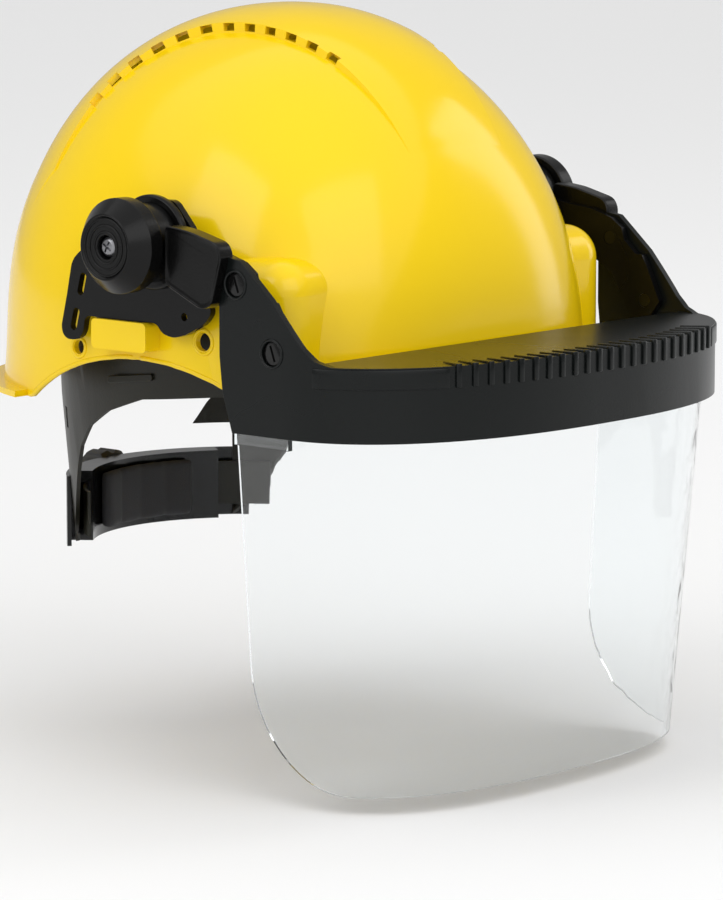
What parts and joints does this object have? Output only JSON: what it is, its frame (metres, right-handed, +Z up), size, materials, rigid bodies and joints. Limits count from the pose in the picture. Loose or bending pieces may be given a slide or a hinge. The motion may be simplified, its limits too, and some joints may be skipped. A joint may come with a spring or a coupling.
{
  "type": "safety helmet with face shield",
  "caption": "Ventilated safety helmet with a flip-up clear face shield on side pivots, four-point cradle and nape ratchet.",
  "frame": {"origin": "middle of the head opening, on the mid-plane, level with the shell's rear rim", "axes": "+Z up, -Y is the way the wearer faces, -X is the wearer's right"},
  "size_m": [0.2802, 0.303, 0.3035],
  "materials": {
    "shell_yellow": "glossy moulded ABS, yellow",
    "band_plastic": "satin olive-black polyethylene",
    "pad_fabric": "black brow pad",
    "webbing": "woven polyester webbing",
    "ratchet_plastic": "black",
    "knob_plastic": "black, grained",
    "pivot_plastic": "black glass-filled nylon",
    "frame_plastic": "charcoal black, semi-gloss",
    "screw_steel": "blackened steel",
    "clear_sheet": "clear polycarbonate"
  },
  "bodies": {
    "helmet": {"bracket_left": "pivot_plastic", "bracket_right": "pivot_plastic", "cradle_strap_a": "webbing", "cradle_strap_b": "webbing", "headband": "band_plastic", "nape_pad": "pad_fabric", "pivot_base_left": "pivot_plastic", "pivot_base_right": "pivot_plastic", "pivot_cap_left": "pivot_plastic", "pivot_cap_right": "pivot_plastic", "pivot_post_left": "pivot_plastic", "pivot_post_right": "pivot_plastic", "pivot_screw_left": "screw_steel", "pivot_screw_right": "screw_steel", "ratchet_back_plate": "ratchet_plastic", "ratchet_housing": "ratchet_plastic", "shell": "shell_yellow", "strap_clips": "band_plastic", "sweatband": "pad_fabric", "wave_washer_left": "screw_steel", "wave_washer_right": "screw_steel"},
    "visor": {"clip_block_left": "pivot_plastic", "clip_block_right": "pivot_plastic", "frame_rivets": "frame_plastic", "link_arm_left": "pivot_plastic", "link_arm_right": "pivot_plastic", "shield_clip_left": "clear_sheet", "shield_clip_right": "clear_sheet", "visor_frame": "frame_plastic", "visor_shield": "clear_sheet"},
    "knob": {"ratchet_knob": "knob_plastic", "ratchet_pinion": "ratchet_plastic"},
    "rack_right": {"nape_rack_right": "band_plastic"},
    "rack_left": {"nape_rack_left": "band_plastic"}
  },
  "joints": [
    {"name": "visor_tilt", "type": "hinge", "parent": "helmet", "child": "visor", "pos_m": [0, -0.025, 0.071], "axis": [-1, 0, 0], "range_deg": [0, 78]},
    {"name": "ratchet_turn", "type": "hinge", "parent": "helmet", "child": "knob", "pos_m": [0, 0.098, -0.055], "axis": [0, -1, 0], "range_deg": [-60, 200]},
    {"name": "rack_right_slide", "type": "hinge", "parent": "helmet", "child": "rack_right", "pos_m": [0, 0.03, -0.055], "axis": [0, 0, -1], "range_deg": [-4.2, 13.5]},
    {"name": "rack_left_slide", "type": "hinge", "parent": "helmet", "child": "rack_left", "pos_m": [0, 0.03, -0.055], "axis": [0, 0, 1], "range_deg": [-4.2, 13.5]}
  ],
  "couplings": [
    {"joint": "rack_right_slide", "follows": "ratchet_turn", "ratio": 0.066176},
    {"joint": "rack_left_slide", "follows": "ratchet_turn", "ratio": 0.066176}
  ]
}
